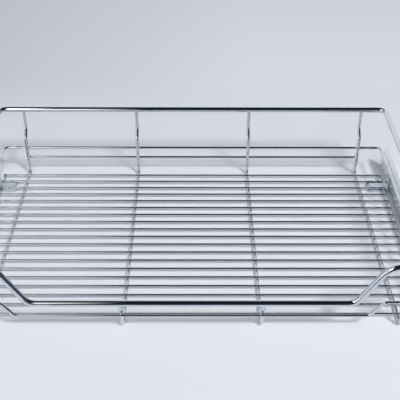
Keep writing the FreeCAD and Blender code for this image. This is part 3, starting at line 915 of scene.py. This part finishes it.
def left_panel():
    """An upright bright panel at the left front. It lines the left part of the plating."""
    mesh = bpy.data.meshes.new("left_panel")
    work = bmesh.new()
    size = (PANEL_WIDTH[1] - PANEL_WIDTH[0], PANEL_RISE[1] - PANEL_RISE[0], 1.0, 1.0)
    middle = (sum(PANEL_WIDTH) / 2, PANEL_Y, sum(PANEL_RISE) / 2)
    upright = Matrix.Rotation(math.pi / 2, 4, "X")
    bmesh.ops.create_grid(work, x_segments=1, y_segments=1, size=0.5,
                          matrix=Matrix.Translation(middle) @ upright @ Matrix.Diagonal(size))
    work.to_mesh(mesh)
    work.free()
    mesh.materials.append(card_glow("panel_glow", ROOM_HIGH, PANEL_COLOUR, "X", PANEL_FADE))
    reflected_only("left_panel", mesh)


def lamp_window():
    """The small bright window that sparkles in the bends of the rails."""
    mesh = bpy.data.meshes.new("lamp_window")
    work = bmesh.new()
    facing = Vector(WINDOW_PLACE).to_track_quat("Z", "Y").to_matrix().to_4x4()
    bmesh.ops.create_grid(work, x_segments=1, y_segments=1, size=WINDOW_HALF,
                          matrix=Matrix.Translation(WINDOW_PLACE) @ facing)
    work.to_mesh(mesh)
    work.free()
    mesh.materials.append(card_glow("window_glow", WINDOW_COLOUR, WINDOW_COLOUR))
    reflected_only("lamp_window", mesh)


def reflected_only(name, mesh):
    """Stage an object that the camera, the shadows and the lit floor pass by."""
    card = bpy.data.objects.new(name, mesh)
    bpy.context.scene.collection.objects.link(card)
    card.visible_camera = False
    card.visible_diffuse = False
    card.visible_shadow = False
    card.visible_transmission = False
    card.visible_volume_scatter = False


def soft_lamp(name, place, side, power, colour):
    """A square soft lamp that looks at the basket."""
    lamp = bpy.data.lights.new(name, "AREA")
    lamp.shape = "SQUARE"
    lamp.size = side
    lamp.energy = power
    lamp.color = colour
    holder = bpy.data.objects.new(name, lamp)
    holder.location = place
    holder.rotation_euler = (-Vector(place)).to_track_quat("-Z", "Y").to_euler()
    # The plating shows the cards and not the lamp
    holder.visible_glossy = False
    bpy.context.scene.collection.objects.link(holder)


def studio_world(look):
    """Even cool fill; what the camera and reflections see of it is the pale background."""
    world = bpy.data.worlds.new("studio")
    bpy.context.scene.world = world
    world.use_nodes = True
    tree = world.node_tree
    tree.nodes.clear()
    output = tree.nodes.new("ShaderNodeOutputWorld")
    fill = add_node(tree, "ShaderNodeBackground",
                    inputs={"Color": rgba(look.fill_colour), "Strength": look.fill})
    pale = add_node(tree, "ShaderNodeBackground", inputs={"Color": rgba(PALE_WORLD)})
    mix = tree.nodes.new("ShaderNodeMixShader")
    tree.links.new(sight(tree)[0], mix.inputs[0])
    tree.links.new(fill.outputs[0], mix.inputs[1])
    tree.links.new(pale.outputs[0], mix.inputs[2])
    tree.links.new(mix.outputs[0], output.inputs["Surface"])


def studio_camera(lens):
    """The camera in front of the basket, looking down at it."""
    camera = bpy.data.cameras.new("camera")
    camera.sensor_width = CAMERA_SENSOR
    camera.lens = lens
    camera.clip_end = CAMERA_REACH
    holder = bpy.data.objects.new("camera", camera)
    bpy.context.scene.collection.objects.link(holder)
    level_share = math.cos(CAMERA_DOWN)
    ahead = Vector((math.sin(CAMERA_TURN) * level_share, math.cos(CAMERA_TURN) * level_share,
                    -math.sin(CAMERA_DOWN)))
    level = Vector((math.cos(CAMERA_TURN), -math.sin(CAMERA_TURN), 0.0))
    upright = level.cross(ahead)
    right = level * math.cos(CAMERA_TILT) + upright * math.sin(CAMERA_TILT)
    up = upright * math.cos(CAMERA_TILT) - level * math.sin(CAMERA_TILT)
    facing = Matrix((right, up, -ahead)).transposed().to_4x4()
    holder.matrix_world = Matrix.Translation(CAMERA_PLACE) @ facing
    bpy.context.scene.camera = holder


class POTBASKET_OT_studio(bpy.types.Operator):
    """Pale floor, cards, lamps, world and camera"""

    bl_idname = "potbasket.studio"
    bl_label = "Lay out the studio"

    def execute(self, context):
        look = context.scene.basket_studio
        studio_floor(look)
        studio_cards()
        left_panel()
        lamp_window()
        soft_lamp("key_lamp", KEY_PLACE, look.key_size, look.key_power, KEY_COLOUR)
        soft_lamp("front_lamp", FRONT_PLACE, FRONT_SIZE, look.front_power, FRONT_COLOUR)
        studio_world(look)
        studio_camera(look.lens)
        context.scene.view_settings.view_transform = "Standard"
        return {"FINISHED"}


OPERATORS = (
    POTBASKET_OT_finish_wires,
    POTBASKET_OT_finish_tabs,
    POTBASKET_OT_finish_runners,
    POTBASKET_OT_finish_bearings,
    POTBASKET_OT_finish_plastic,
    POTBASKET_OT_floor_welds,
    POTBASKET_OT_rail_welds,
    POTBASKET_OT_tab_screws,
    POTBASKET_OT_tab_nuts,
    POTBASKET_OT_studio,
)


class POTBASKET_PT_steps(bpy.types.Panel):
    """The basket's steps and sizes."""

    bl_idname = "POTBASKET_PT_steps"
    bl_label = "Pot basket"
    bl_space_type = "VIEW_3D"
    bl_region_type = "UI"
    bl_category = "Pot basket"

    def draw(self, context):
        for operator in OPERATORS:
            self.layout.operator(operator.bl_idname)
        for look in (context.scene.basket_wires, context.scene.basket_welds,
                     context.scene.basket_runners, context.scene.basket_studio):
            box = self.layout.box()
            for name in look.__annotations__:
                box.prop(look, name)


SETTINGS = {
    "basket_wires": WireFinish,
    "basket_welds": WeldSizes,
    "basket_runners": RunnerFinish,
    "basket_studio": StudioSettings,
}


def register():
    for settings in SETTINGS.values():
        bpy.utils.register_class(settings)
    for name, settings in SETTINGS.items():
        setattr(bpy.types.Scene, name, bpy.props.PointerProperty(type=settings))
    for operator in OPERATORS:
        bpy.utils.register_class(operator)
    bpy.utils.register_class(POTBASKET_PT_steps)


def unregister():
    bpy.utils.unregister_class(POTBASKET_PT_steps)
    for operator in reversed(OPERATORS):
        bpy.utils.unregister_class(operator)
    for name in SETTINGS:
        delattr(bpy.types.Scene, name)
    for settings in reversed(SETTINGS.values()):
        bpy.utils.unregister_class(settings)


def main():
    register()
    for operator in OPERATORS:
        group, name = operator.bl_idname.split(".")
        getattr(getattr(bpy.ops, group), name)()


if __name__ == "__main__":
    main()
